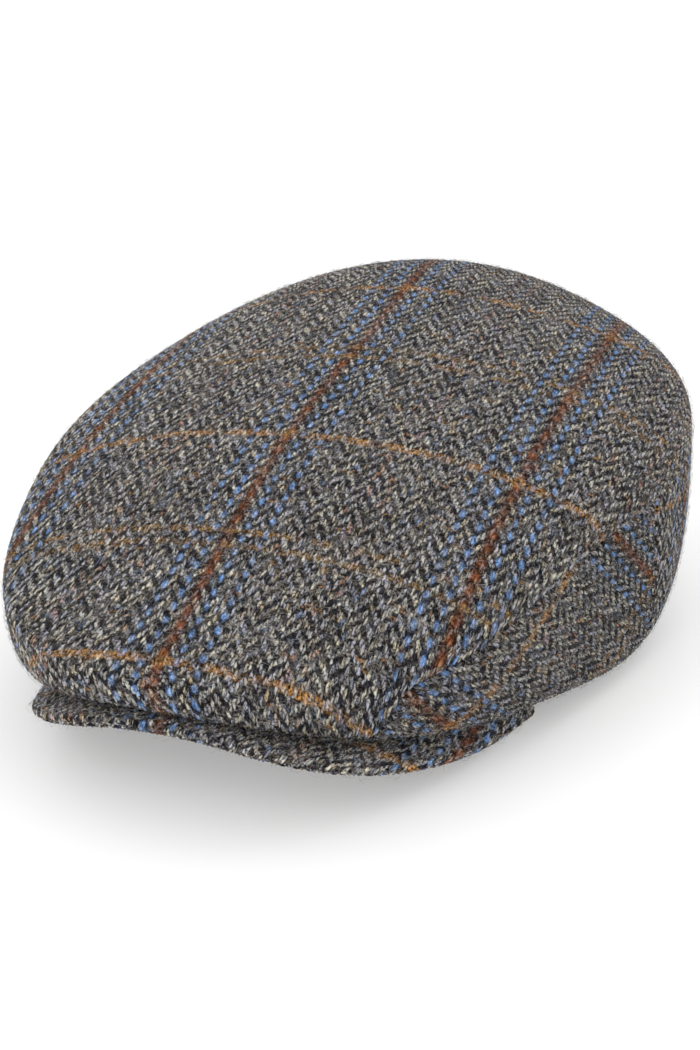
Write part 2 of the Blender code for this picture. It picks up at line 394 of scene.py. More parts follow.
def eased_side(side):
    """The skewed cloth of a side panel: side is 1 for left and -1 for right."""

    def eased(x, y):
        return x, y + side * SIDE_SKEW * x

    return eased


def eased_peak(x, y):
    return x * (PEAK_GATHER[0] + PEAK_GATHER[1] * y), y


def panel_grid(across, along):
    """The u and v of a grid over a panel, by its number of points across and along."""
    return np.meshgrid(np.linspace(-0.5, 0.5, across), np.linspace(-0.5, 0.5, along), indexing="ij")


def cell_corners(grid):
    """The values at the four corners of each cell of a grid, in order round the cell."""
    return np.stack([grid[:-1, :-1], grid[1:, :-1], grid[1:, 1:], grid[:-1, 1:]], axis=-1)


def diagonals(points, faces):
    """The two diagonals of each face."""
    return points[faces[:, 2]] - points[faces[:, 0]], points[faces[:, 3]] - points[faces[:, 1]]


def unwrapped(points, faces):
    """The faces laid flat with the least stretch, at their area on the panel."""
    mesh = bpy.data.meshes.new("pattern")
    mesh.from_pydata(points.tolist(), [], faces.tolist())
    mesh.uv_layers.new(name="flat")
    piece = bpy.data.objects.new("pattern", mesh)
    bpy.context.scene.collection.objects.link(piece)
    bpy.context.view_layer.objects.active = piece
    piece.select_set(True)
    bpy.ops.object.mode_set(mode="EDIT")
    bpy.ops.mesh.select_all(action="SELECT")
    bpy.ops.uv.unwrap(method="MINIMUM_STRETCH", iterations=UNWRAP_ROUNDS)
    bpy.ops.object.mode_set(mode="OBJECT")
    flat = np.zeros((len(points), 2))
    loops = np.array([loop.vertex_index for loop in mesh.loops])
    places = np.zeros(2 * len(loops))
    mesh.uv_layers["flat"].data.foreach_get("uv", places)
    flat[loops] = places.reshape(-1, 2)
    bpy.data.objects.remove(piece)
    area = np.linalg.norm(np.cross(*diagonals(points, faces)), axis=-1).sum()
    first, second = diagonals(flat, faces)
    flat_area = abs((first[:, 0] * second[:, 1] - first[:, 1] * second[:, 0]).sum())
    return flat * math.sqrt(area / flat_area)


def flattened(panel):
    """The panel laid flat, as cloth positions in ends and picks over its grid of u and v."""
    across, along = panel.cells
    u, v = panel_grid(across + 1, along + 1)
    faces = cell_corners(np.arange(u.size).reshape(u.shape)).reshape(-1, 4)
    flat = unwrapped(panel.surface(u, v).reshape(-1, 3), faces).reshape(*u.shape, 2)
    front, back = between(flat, *panel.stripe_front), between(flat, *panel.stripe_back)
    way = (back - front) / np.linalg.norm(back - front)
    flat = (flat - front) @ np.array([[way[1], way[0]], [-way[0], way[1]]])
    if panel.eased:
        flat = np.stack(panel.eased(flat[..., 0], flat[..., 1]), axis=-1)
    flat[..., 1] -= between(flat, *panel.pick_place)[1]
    return flat / np.array([END_PITCH, PICK_PITCH])


def between(grid, u, v):
    """The value at one u and v of a grid that spans them."""
    across, along = (u + 0.5) * (grid.shape[0] - 1), (v + 0.5) * (grid.shape[1] - 1)
    i, j = min(int(across), grid.shape[0] - 2), min(int(along), grid.shape[1] - 2)
    a, b = across - i, along - j
    near = (1 - a) * grid[i, j] + a * grid[i + 1, j]
    far = (1 - a) * grid[i, j + 1] + a * grid[i + 1, j + 1]
    return (1 - b) * near + b * far


def with_margin(grid):
    """The grid with one more row all round, carried straight on from the rows inside."""
    for axis in (0, 1):
        grid = np.moveaxis(grid, axis, 0)
        grid = np.concatenate([[2 * grid[0] - grid[1]], grid, [2 * grid[-1] - grid[-2]]])
        grid = np.moveaxis(grid, 0, axis)
    return grid


def lattice_places(flat):
    """The u and v of every lattice point of the cloth, and the lattice's first half end and pick."""
    places = with_margin(np.stack(panel_grid(*flat.shape[:2]), axis=-1)).reshape(-1, 2)
    cloth = with_margin(flat)
    numbers = np.arange(len(places)).reshape(cloth.shape[:2])
    lattice = cloth.reshape(-1, 2) * np.array([2.0, 1.0]) - np.array([0.0, 0.5])
    first = np.floor(lattice.min(axis=0)).astype(int)
    size = np.ceil(lattice.max(axis=0)).astype(int) - first + 1
    lattice -= first
    found = np.full((*size, 2), np.nan)
    cells = cell_corners(numbers).reshape(-1, 4)
    for triangle in np.concatenate([cells[:, [0, 1, 2]], cells[:, [0, 2, 3]]]):
        a, b, c = lattice[triangle]
        low = np.ceil(np.minimum(np.minimum(a, b), c)).astype(int)
        high = np.floor(np.maximum(np.maximum(a, b), c)).astype(int) + 1
        i, j = np.meshgrid(np.arange(low[0], high[0]), np.arange(low[1], high[1]), indexing="ij")
        area = (b[0] - a[0]) * (c[1] - a[1]) - (b[1] - a[1]) * (c[0] - a[0])
        beta = ((i - a[0]) * (c[1] - a[1]) - (j - a[1]) * (c[0] - a[0])) / area
        gamma = ((b[0] - a[0]) * (j - a[1]) - (b[1] - a[1]) * (i - a[0])) / area
        inside = (beta >= -SIDE_SLACK) & (gamma >= -SIDE_SLACK) & (beta + gamma <= 1 + SIDE_SLACK)
        place = places[triangle]
        spot = place[0] + beta[..., None] * (place[1] - place[0]) + gamma[..., None] * (place[2] - place[0])
        found[i[inside], j[inside]] = spot[inside]
    return found, first


def warp_is_up(end, pick):
    """Whether the warp end passes over the weft at that pick."""
    column = end // ENDS_IN_COLUMN
    place = end - ENDS_IN_COLUMN * column
    step = np.where(column % 2 == 1, ENDS_IN_COLUMN + 1 - place, place)
    return (pick + step) % TWILL_REPEAT < HALF_REPEAT


def yarn_height(half_end, pick):
    """Height of the cloth, from -1 to 1, in the middle of an end or in the gap between two."""
    here, beside = warp_is_up(half_end // 2, pick), warp_is_up(half_end // 2 - 1, pick)
    over, under = END_HEIGHTS
    both, one, neither = GAP_HEIGHTS
    middle = np.where(here, over, under)
    gap = np.where(here & beside, both, np.where(here | beside, one, neither))
    return np.where(half_end % 2 == 1, middle, gap)


def edge_roll(surface, u, v):
    """How far the cloth is turned in beside an edge of its panel."""
    along_u, along_v = surface_steps(surface, u, v)
    from_side = (0.5 - np.abs(u)) * np.linalg.norm(along_u, axis=-1)
    from_end = (0.5 - np.abs(v)) * np.linalg.norm(along_v, axis=-1)
    left = np.clip(SEAM_ROLL - np.minimum(from_side, from_end), 0, SEAM_ROLL)
    return SEAM_ROLL - np.sqrt(SEAM_ROLL**2 - left**2)


def on_panel(places, limit=0.5):
    """Which lattice points have a u and v within a limit: NaN marks those off the panel's grid."""
    return (np.abs(np.nan_to_num(places, nan=1.0)) <= limit).all(axis=-1)


def woven_skin(panel, flat):
    """The lattice laid on the panel: its points, its quads and their cloth positions."""
    places, first = lattice_places(flat)
    known = ~np.isnan(places[..., 0])
    kept = cell_corners(on_panel(places)).any(axis=-1) & cell_corners(known).all(axis=-1)
    numbers = np.arange(known.size).reshape(known.shape)
    quads = cell_corners(numbers)[kept]
    used, quads = np.unique(quads, return_inverse=True)
    quads = quads.reshape(-1, 4)
    half_end, pick = np.unravel_index(used, known.shape)
    half_end, pick = half_end + first[0], pick + first[1]
    u, v = np.clip(places.reshape(-1, 2)[used], -0.5, 0.5).T
    height = YARN_RELIEF * yarn_height(half_end, pick) - edge_roll(panel.surface, u, v)
    points = panel.surface(u, v) + height[:, None] * surface_normal(panel.surface, u, v)
    cloth = np.stack([half_end / 2, pick + 0.5], axis=-1)
    return points, quads, cloth


def inner_wall(panel, flat):
    """The body of the cloth behind the skin: a closed sheet between two depths."""
    u, v = panel_grid(*flat.shape[:2])
    surface = panel.surface(u, v)
    normal = surface_normal(panel.surface, u, v)
    layers = [surface - depth * normal for depth in WALL_DEPTHS]
    numbers = np.arange(u.size).reshape(u.shape)
    outer = cell_corners(numbers).reshape(-1, 4)
    rim = np.concatenate([numbers[:-1, 0], numbers[-1, :-1], numbers[:0:-1, -1], numbers[0, :0:-1]])
    following = np.roll(rim, -1)
    edge = np.stack([rim, rim + u.size, following + u.size, following], axis=-1)
    quads = np.concatenate([outer, outer[:, ::-1] + u.size, edge])
    cloth = flat.reshape(-1, 2)
    return np.concatenate([layer.reshape(-1, 3) for layer in layers]), quads, np.concatenate([cloth, cloth])


def cut_size(flat):
    """Width and length in metres and area in square metres of a panel's cut."""
    cut = flat * np.array([END_PITCH, PICK_PITCH]) * MM
    first, second = cut[1:, 1:] - cut[:-1, :-1], cut[:-1, 1:] - cut[1:, :-1]
    area = abs(first[..., 0] * second[..., 1] - first[..., 1] * second[..., 0]).sum() / 2
    width, length = np.ptp(cut.reshape(-1, 2), axis=0)
    return float(width), float(length), float(area)


def loose_fibres(panel, flat, random):
    """Short curled fibres that stand out of the cloth, as narrow bands of three quads."""
    places, first = lattice_places(flat)
    inside = on_panel(places, FIBRE_LIMIT)
    half_end, pick = np.nonzero(inside & (random.random(inside.shape) < FIBRE_SHARE))
    u, v = places[half_end, pick].T
    count = len(u)
    normal = surface_normal(panel.surface, u, v)
    along = surface_steps(panel.surface, u, v)[0]
    along /= np.linalg.norm(along, axis=-1)[:, None]
    across = np.cross(normal, along)
    heading, roll = random.uniform(0, 2 * math.pi, count), random.uniform(0, math.pi, count)
    ahead = np.cos(heading)[:, None] * along + np.sin(heading)[:, None] * across
    aside = np.cross(normal, ahead)
    length = random.uniform(*FIBRE_LENGTHS, count)
    curl = random.uniform(-FIBRE_CURL, FIBRE_CURL, count) * length
    arch, tip = random.uniform(*FIBRE_ARCHES, count), random.uniform(*FIBRE_ARCHES, count) ** 2
    flat_side = np.cos(roll)[:, None] * aside + np.sin(roll)[:, None] * normal
    rows = []
    for share, width in zip(np.linspace(0, 1, len(FIBRE_WIDTHS)), FIBRE_WIDTHS):
        height = YARN_RELIEF + 4 * share * (1 - share) * arch + share**2 * tip
        middle = panel.surface(u, v) + height[:, None] * normal
        middle += (share * length)[:, None] * ahead + (share**2 * curl)[:, None] * aside
        rows += [middle - width / 2 * flat_side, middle + width / 2 * flat_side]
    points = np.stack(rows, axis=1).reshape(-1, 3)
    corners = np.arange(0, len(rows) - 2, 2)[:, None] + np.array([0, 1, 3, 2])
    quads = (np.arange(count)[:, None, None] * len(rows) + corners).reshape(-1, 4)
    cloth = np.stack([half_end + first[0], pick + first[1]], axis=-1) * np.array([0.5, 1.0])
    return points, quads, np.repeat(cloth, len(rows), axis=0)


def make_mesh(name, parts, material):
    """One object from parts that are each points in millimetres, quads and cloth positions."""
    points, quads, cloth, count = [], [], [], 0
    for part_points, part_quads, part_cloth in parts:
        points.append(part_points)
        quads.append(part_quads + count)
        cloth.append(part_cloth)
        count += len(part_points)
    points, quads, cloth = (np.concatenate(values) for values in (points, quads, cloth))
    points[:, 2] = np.maximum(points[:, 2], 0.0)
    mesh = bpy.data.meshes.new(name)
    mesh.vertices.add(count)
    mesh.vertices.foreach_set("co", ((points + OPENING_CENTRE) * MM).ravel())
    mesh.loops.add(quads.size)
    mesh.loops.foreach_set("vertex_index", quads.ravel())
    mesh.polygons.add(len(quads))
    mesh.polygons.foreach_set("loop_start", np.arange(len(quads)) * 4)
    mesh.uv_layers.new(name="cloth")
    mesh.uv_layers["cloth"].data.foreach_set("uv", cloth[quads.ravel()].ravel())
    mesh.update(calc_edges=True)
    mesh.shade_smooth()
    mesh.materials.append(material)
    piece = bpy.data.objects.new(name, mesh)
    bpy.context.scene.collection.objects.link(piece)
    return piece


class Term:
    """A shader value that takes part in ordinary arithmetic: each step adds a Math node."""

    def __init__(self, socket):
        self.socket = socket

    def math(self, operation, *others, first=None):
        tree = self.socket.id_data
        step = tree.nodes.new("ShaderNodeMath")
        step.operation = operation
        values = (self, *others) if first is None else (first, self)
        for slot, value in zip(step.inputs, values):
            connect(tree, value, slot)
        return Term(step.outputs[0])

    def __add__(self, other):
        return self.math("ADD", other)

    def __radd__(self, other):
        return self.math("ADD", other)

    def __sub__(self, other):
        return self.math("SUBTRACT", other)

    def __rsub__(self, other):
        return self.math("SUBTRACT", first=other)

    def __mul__(self, other):
        return self.math("MULTIPLY", other)

    def __rmul__(self, other):
        return self.math("MULTIPLY", other)

    def __truediv__(self, other):
        return self.math("DIVIDE", other)

    def __pow__(self, other):
        return self.math("POWER", other)

    def __mod__(self, other):
        return self.math("FLOORED_MODULO", other)

    def __lt__(self, other):
        return self.math("LESS_THAN", other)

    def __gt__(self, other):
        return self.math("GREATER_THAN", other)

    def __abs__(self):
        return self.math("ABSOLUTE")

    def floor(self):
        return self.math("FLOOR")

    def larger(self, other):
        return self.math("MAXIMUM", other)


def connect(tree, value, slot):
    """Gives a node's input a number, a colour or another node's result."""
    if isinstance(value, Term):
        tree.links.new(value.socket, slot)
    elif value is not None:
        slot.default_value = value


def add_node(tree, kind, *values, output=0, **settings):
    """One shader node: its settings, and its inputs in order, where None keeps an input as it is."""
    made = tree.nodes.new("ShaderNode" + kind)
    for name, value in settings.items():
        setattr(made, name, value)
    for slot, value in zip(made.inputs, values):
        connect(tree, value, slot)
    return Term(made.outputs[output])


def ramp(tree, value, *stops, smooth=True):
    """A colour ramp through (position, colour) stops."""
    made = tree.nodes.new("ShaderNodeValToRGB")
    made.color_ramp.interpolation = "LINEAR" if smooth else "CONSTANT"
    while len(made.color_ramp.elements) < len(stops):
        made.color_ramp.elements.new(0.5)
    for element, (position, colour) in zip(made.color_ramp.elements, stops):
        element.position = position
        element.color = (*colour, 1.0)
    tree.links.new(value.socket, made.inputs[0])
    return Term(made.outputs[0])


def step_up(tree, value, low, high):
    """0 below low, 1 above high, and a smooth rise between."""
    return add_node(tree, "MapRange", value, low, high, 0.0, 1.0, interpolation_type="SMOOTHSTEP")


def mix(tree, share, first, second, blend_type="MIX"):
    """Two colours mixed: the Mix node has its colours as inputs 6 and 7 and their mix as output 2."""
    made = tree.nodes.new("ShaderNodeMix")
    made.data_type = "RGBA"
    made.blend_type = blend_type
    for number, value in ((0, share), (6, first), (7, second)):
        connect(tree, value, made.inputs[number])
    return Term(made.outputs[2])


def srgb(red, green, blue):
    """A colour as seen on screen, 0 to 255, in the linear values that shaders take."""
    shares = np.array([red, green, blue]) / 255
    return tuple(np.where(shares <= 0.04045, shares / 12.92, ((shares + 0.055) / 1.055) ** 2.4).tolist())


# Yarn colours as seen on screen: light and dark yarns by how much of the cloth they make, the tints of its
# slow patches, and the yarns of the check
LIGHT_YARNS = (
    (0.00, srgb(150, 150, 156)),
    (0.20, srgb(168, 166, 161)),
    (0.42, srgb(177, 173, 160)),
    (0.58, srgb(152, 149, 140)),
    (0.72, srgb(156, 155, 162)),
    (0.84, srgb(112, 110, 112)),
    (0.94, srgb(160, 155, 140)),
    (0.965, srgb(164, 146, 118)),
    (0.978, srgb(150, 116, 98)),
    (0.988, srgb(116, 130, 156)),
)
DARK_YARNS = (
    (0.00, srgb(48, 46, 50)),
    (0.30, srgb(70, 67, 69)),
    (0.54, srgb(106, 102, 101)),
    (0.73, srgb(90, 85, 80)),
    (0.86, srgb(134, 131, 127)),
    (0.94, srgb(92, 102, 118)),
    (0.97, srgb(136, 106, 80)),
)
TINTS = (
    (0.30, srgb(176, 186, 206)),
    (0.46, srgb(188, 188, 188)),
    (0.56, srgb(192, 186, 178)),
    (0.70, srgb(210, 186, 150)),
)
TINT_SHARE = 0.4
RUST = srgb(142, 76, 32)
BROWN = srgb(150, 92, 66)
BLUE = srgb(118, 164, 226)
ORANGE = srgb(192, 140, 80)
MUSTARD = srgb(158, 124, 78)

# Noises over the cloth: scale, detail and roughness
Noise = namedtuple("Noise", "scale detail roughness")
WANDER_NOISE = Noise(0.55, 2.0, 0.5)
FIBRE_NOISE = Noise(1.0, 2.0, 0.7)
TINT_NOISE = Noise(0.42, 2.0, 0.6)
PATCH_NOISE = Noise(0.16, 1.0, 0.5)
CLOUD_NOISE = Noise(0.09, 3.0, 0.6)

# Offsets that keep the draws of chance apart
WEFT_DRAW = 0.37
BRIGHTNESS_DRAW = 0.61

# The span the yarns wander over, in ends and picks, and how much of it the check's lines follow
WANDER = (1.6, 2.0, 0.0)
LINE_WANDER = 0.4

# A float is the stretch of an end that passes over the weft: half its width in ends and half its length in
# picks, how it leans, and where it fades. The weft beside it is a narrower and lower ridge
FLOAT_HALF_WIDTH = 0.5
FLOAT_HALF_LENGTH = 1.4
FLOAT_LEAN = 0.1
FLOAT_EDGE = (0.5, 1.1)
WEFT_NARROWING = 1.9
WEFT_HEIGHT = 0.72

# How closely the fibres of each yarn lie across and along the cloth, and the tufts of the nap
WARP_FIBRES = (2.1, 1.4, 1.0)
WEFT_FIBRES = (1.4, 2.6, 1.0)
TUFTS = (1.25, 0.95, 1.0)
TUFT_EDGE = (0.32, 0.72)
TUFT_FRAY = 0.5

# The coloured ends of each stripe, two to a row: place in ends from its middle, width, where their floats
# start, how they lean, and how much colour shows between the floats and on them
StripeYarn = namedtuple("StripeYarn", "place width phase lean least most paint")
STRIPE_YARNS = (
    StripeYarn(-10.7, 1.0, 1.0, 0.1, 0.1, 0.86, BLUE),
    StripeYarn(-4.6, 1.0, 3.0, 0.1, 0.1, 0.9, BLUE),
    StripeYarn(0.0, 1.45, 0.0, 0.1, 0.66, 1.0, RUST),
    StripeYarn(4.5, 1.0, 2.0, 0.2, 0.1, 0.9, BLUE),
    StripeYarn(10.8, 1.0, 0.0, 0.25, 0.1, 0.86, BLUE),
)

# Where those floats and the lanes they lie in fade, how much both fray, how much colour a float may lose by
# the yarn's brightness and by chance, how dark a lane is between floats, and how even a float is
SPOT_EDGE = (0.35, 1.2)
SPOT_FRAY = 1.3
LANE_EDGE = (0.9, 1.5)
LANE_FRAY = 1.5
BRIGHTNESS_LOSS = 0.2
CHANCE_LOSS = 0.4
LANE_SHADOW = 0.26
SPOT_CALM = 0.3

# Brown floats about midway between two stripes: place in ends from a stripe, half width, the brightness from
# which a float is brown, and how much colour shows
BROWN_PLACE = 33.4
BROWN_HALF_WIDTH = 1.0
BROWN_BRIGHTNESS = 0.6
BROWN_SHARE = 0.5

# The coloured picks of each check: place in picks from the orange one, where the line fades, and how much
# colour shows between its patches and on them. The warp hides a share of it
PickYarn = namedtuple("PickYarn", "place edge least most paint")
PICK_YARNS = (
    PickYarn(0.0, (0.8, 1.5), 0.12, 0.82, ORANGE),
    PickYarn(33.8, (0.4, 1.2), 0.1, 0.9, MUSTARD),
)
PATCH_EDGE = (0.34, 0.6)
WARP_COVER = 0.6

# Orange shows most where a stripe crosses an orange pick: where it fades from each, and its share
CROSSING_STRIPE_EDGE = (1.0, 2.6)
CROSSING_PICK_EDGE = (0.8, 2.2)
CROSSING_SHARE = 0.75

# Shading: the least light between yarns and how it grows with height, the fibres' contrast and least, the
# ranges over the floats, from a tuft's rim to its core and over the tufts, the shade that coloured floats
# are evened to, the contrast of slow clouds, and the power and gain that follow
GAP_SHADE = 0.05
HEIGHT_POWER = 0.8
FIBRE_CONTRAST = 3.4
FIBRE_LEAST = 0.08
FLOAT_SHADES = (0.8, 1.2)
TUFT_CORE_SHADES = (0.6, 1.15)
TUFT_SHADES = (0.85, 1.15)
EVEN_SHADE = 0.9
CLOUD_CONTRAST = 0.6
SHADE_POWER = 2.4
SHADE_GAIN = 2.15

# The fine relief of the shading: strength, depth, and how much the fibres add to the yarns
BUMP_STRENGTH = 0.8
BUMP_DEPTH = 0.35
FIBRE_RELIEF = 1.6


def blend(share, low, high):
    """The value a share of the way from low to high."""
    return low + (high - low) * share


def vector(tree, x, y, z=0.0):
    return add_node(tree, "CombineXYZ", x, y, z)


def x_and_y(tree, place):
    split = tree.nodes.new("ShaderNodeSeparateXYZ")
    tree.links.new(place.socket, split.inputs[0])
    return Term(split.outputs[0]), Term(split.outputs[1])


def scaled(tree, place, factors):
    return add_node(tree, "VectorMath", place, factors, operation="MULTIPLY")


def noise(tree, place, kind):
    """Smooth noise about 0.5."""
    return add_node(tree, "TexNoise", place, None, *kind, noise_dimensions="2D")


def chance(tree, place):
    """A random number from 0 to 1 for each place."""
    return add_node(tree, "TexWhiteNoise", place, noise_dimensions="2D")


def voronoi(tree, place):
    """Distance from the nearest of a scatter of points, and a random number for it."""
    made = tree.nodes.new("ShaderNodeTexVoronoi")
    made.voronoi_dimensions = "2D"
    made.inputs["Scale"].default_value = 1.0
    tree.links.new(place.socket, made.inputs["Vector"])
    split = tree.nodes.new("ShaderNodeSeparateColor")
    tree.links.new(made.outputs["Color"], split.inputs[0])
    return Term(made.outputs["Distance"]), Term(split.outputs[0])


def cloth_material(name):
    """A new material and its cloth positions, in ends and picks."""
    material = bpy.data.materials.new(name)
    material.use_nodes = True
    cloth = material.node_tree.nodes.new("ShaderNodeUVMap")
    cloth.uv_map = "cloth"
    return material, Term(cloth.outputs[0])


def wandering(tree, cloth):
    """The cloth position, moved as the yarns wander."""
    wander = add_node(tree, "TexNoise", cloth, None, *WANDER_NOISE, output=1, noise_dimensions="3D")
    wander = add_node(tree, "VectorMath", wander, (0.5, 0.5, 0.5), operation="SUBTRACT")
    return add_node(tree, "VectorMath", cloth, scaled(tree, wander, WANDER), operation="ADD")


# The yarns at a place: how much of what shows is warp, the height of the yarn on top, its fibres, a place of
# its own for each float of the warp and of the weft, and the warp float's brightness
Weave = namedtuple("Weave", "warp_share height fibre warp_float weft_float brightness")


def interlacing(tree, place):
    """The herringbone of yarn_height in the shader."""
    x, y = x_and_y(tree, place)
    end, pick = x.floor(), y.floor()
    column = (end / ENDS_IN_COLUMN).floor()
    turned = column % 2
    within = end - column * ENDS_IN_COLUMN
    run = y + (within + turned * (ENDS_IN_COLUMN + 1 - within * 2)) + 1
    along = run % TWILL_REPEAT - HALF_REPEAT
    across = x - end - 0.5 + along * blend(turned, FLOAT_LEAN, -FLOAT_LEAN)
    body = (abs(across) / FLOAT_HALF_WIDTH) ** 2 + (abs(along) / FLOAT_HALF_LENGTH) ** 2
    warp_share = 1 - step_up(tree, body, *FLOAT_EDGE)
    warp_height = (1 - body).larger(0.0) ** 0.5
    weft_height = (1 - (abs(y - pick - 0.5) * WEFT_NARROWING) ** 2).larger(0.0) ** 0.5 * WEFT_HEIGHT
    warp_fibre = noise(tree, scaled(tree, place, WARP_FIBRES), FIBRE_NOISE)
    weft_fibre = noise(tree, scaled(tree, place, WEFT_FIBRES), FIBRE_NOISE)
    run_number = (run / TWILL_REPEAT).floor()
    fibre = blend(warp_share, weft_fibre, warp_fibre) - 0.5
    warp_float = vector(tree, end, run_number)
    weft_float = vector(tree, ((x + pick * HALF_REPEAT) / TWILL_REPEAT).floor(), pick + WEFT_DRAW)
    brightness = chance(tree, vector(tree, end + BRIGHTNESS_DRAW, run_number))
    return Weave(warp_share, warp_height.larger(weft_height), fibre, warp_float, weft_float, brightness)


def yarn_colour(tree, cloth, weave):
    """The plain cloth's greys and flecks, with slow patches of tint."""
    light = ramp(tree, chance(tree, weave.warp_float), *LIGHT_YARNS, smooth=False)
    dark = ramp(tree, chance(tree, weave.weft_float), *DARK_YARNS, smooth=False)
    tint = ramp(tree, noise(tree, cloth, TINT_NOISE), *TINTS)
    return mix(tree, TINT_SHARE, mix(tree, weave.warp_share, dark, light), tint, "OVERLAY")


def from_nearest(place, repeat):
    """How far a place is past the nearest whole repeat, less than 0 before it."""
    return (place + repeat / 2) % repeat - repeat / 2


def with_stripes(tree, colour, from_stripe, line_y, weave):
    """The colour with the stripes' ends, and how much these darken and even out the shading."""
    shadow, calm = 0.0, 0.0
    for place, width, phase, lean, least, most, paint in STRIPE_YARNS:
        beside = (from_stripe - place) / width
        ahead = (line_y + phase) % TWILL_REPEAT - HALF_REPEAT
        spot = (beside + ahead * lean) ** 2 + (ahead / FLOAT_HALF_LENGTH) ** 2 + weave.fibre * SPOT_FRAY
        spot = 1 - step_up(tree, spot, *SPOT_EDGE)
        lane = 1 - step_up(tree, abs(beside) + weave.fibre * LANE_FRAY, *LANE_EDGE)
        per_spot = chance(tree, vector(tree, ((line_y + phase) / TWILL_REPEAT).floor(), place))
        share = spot.larger(lane * least)
        share = share * (1.0 - BRIGHTNESS_LOSS * weave.brightness - CHANCE_LOSS * per_spot) * most
        colour = mix(tree, share, colour, (*paint, 1))
        shadow = shadow + lane * (1 - spot) * LANE_SHADOW
        calm = calm + spot * SPOT_CALM
    return colour, shadow, calm


def with_brown(tree, colour, from_stripe, weave):
    """The colour with the brown floats between two stripes."""
    share = (abs(from_stripe - BROWN_PLACE) < BROWN_HALF_WIDTH) * (weave.brightness > BROWN_BRIGHTNESS)
    return mix(tree, share * weave.warp_share * BROWN_SHARE, colour, (*BROWN, 1))


def with_picks(tree, colour, cloth, from_pick, weave):
    """The colour with the coloured picks, which come and go in patches."""
    patch = step_up(tree, noise(tree, cloth, PATCH_NOISE), *PATCH_EDGE)
    for place, edge, least, most, paint in PICK_YARNS:
        share = 1 - step_up(tree, abs(from_pick - place), *edge)
        share = share * blend(patch, least, most) * (1 - WARP_COVER * weave.warp_share)
        colour = mix(tree, share, colour, (*paint, 1))
    return colour


def with_crossing(tree, colour, from_stripe, from_pick, weave):
    """The colour with the orange where a stripe crosses an orange pick."""
    away = step_up(tree, from_stripe + weave.fibre, *CROSSING_STRIPE_EDGE)
    away = away + step_up(tree, from_pick + weave.fibre, *CROSSING_PICK_EDGE)
    return mix(tree, (1 - away).larger(0.0) * CROSSING_SHARE, colour, (*ORANGE, 1))


def yarn_shade(tree, cloth, weave, shadow, calm):
    """How light a place shows: high yarns, fibres and the cores of tufts are lighter."""
    tuft_distance, tuft_chance = voronoi(tree, scaled(tree, cloth, TUFTS))
    tuft_core = 1 - step_up(tree, tuft_distance - weave.fibre * TUFT_FRAY, *TUFT_EDGE)
    cloud = noise(tree, cloth, CLOUD_NOISE) - 0.5
    shade = blend(weave.height**HEIGHT_POWER, GAP_SHADE, 1.0)
    shade = shade * (1 + weave.fibre * FIBRE_CONTRAST).larger(FIBRE_LEAST)
    shade = shade * blend(weave.brightness, *FLOAT_SHADES)
    shade = shade * blend(tuft_core, *TUFT_CORE_SHADES) * blend(tuft_chance, *TUFT_SHADES)
    shade = shade + (EVEN_SHADE - shade) * calm
    shade = (shade * (1 + cloud * CLOUD_CONTRAST) * (1 - shadow)) ** SHADE_POWER
    return shade * SHADE_GAIN / (1 + shade)


def tweed(name, tone):
    """The woven cloth: tone brightens or darkens all of it, which paints light onto the peak and shade onto
    the walls.
    """
    material, cloth = cloth_material(name)
    tree = material.node_tree
    place = wandering(tree, cloth)
    weave = interlacing(tree, place)
    still_x, still_y = x_and_y(tree, cloth)
    moved_x, moved_y = x_and_y(tree, place)
    line_x, line_y = blend(LINE_WANDER, still_x, moved_x), blend(LINE_WANDER, still_y, moved_y)
    past_stripe = from_nearest(line_x, ENDS_IN_CHECK)
    from_stripe, from_pick = abs(past_stripe), abs(from_nearest(line_y, PICKS_IN_CHECK))

    colour = yarn_colour(tree, cloth, weave)
    colour, shadow, calm = with_stripes(tree, colour, past_stripe, line_y, weave)
    colour = with_brown(tree, colour, from_stripe, weave)
    colour = with_picks(tree, colour, cloth, from_pick, weave)
    colour = with_crossing(tree, colour, from_stripe, from_pick, weave)
    shade = yarn_shade(tree, cloth, weave, shadow, calm) * tone
    colour = mix(tree, 1.0, colour, vector(tree, shade, shade, shade), "MULTIPLY")

    relief = weave.height + weave.fibre * FIBRE_RELIEF
    bump = tree.nodes.new("ShaderNodeBump")
    bump.inputs["Strength"].default_value = BUMP_STRENGTH
    bump.inputs["Distance"].default_value = BUMP_DEPTH * MM
    tree.links.new(relief.socket, bump.inputs["Height"])
    shader = tree.nodes["Principled BSDF"]
    tree.links.new(colour.socket, shader.inputs["Base Color"])
    tree.links.new(bump.outputs[0], shader.inputs["Normal"])
    shader.inputs["Roughness"].default_value = 0.92
    shader.inputs["Specular IOR Level"].default_value = 0.1
    shader.inputs["Sheen Weight"].default_value = 0.03
    shader.inputs["Sheen Roughness"].default_value = 0.5
    return material


def loose_wool():
    """The loose fibres: each is one pale shade of the light yarns."""
    material, cloth = cloth_material("loose_wool")
    tree = material.node_tree
    colour = ramp(tree, chance(tree, cloth), *LIGHT_YARNS, smooth=False)
    shader = tree.nodes["Principled BSDF"]
    tree.links.new(colour.socket, shader.inputs["Base Color"])
    shader.inputs["Roughness"].default_value = 0.7
    shader.inputs["Specular IOR Level"].default_value = 0.2
    return material


def side_cut(side):
    """A side's panel: side is 1 for left and -1 for right."""
    stripe_front, stripe_back = (side * 0.305, 0.488), (side * 0.465, 0.358)
    pick_place = (side * -0.042, 0.44)
    return Panel(side_panel(side), (40, 14), stripe_front, stripe_back, pick_place, eased_side(side))


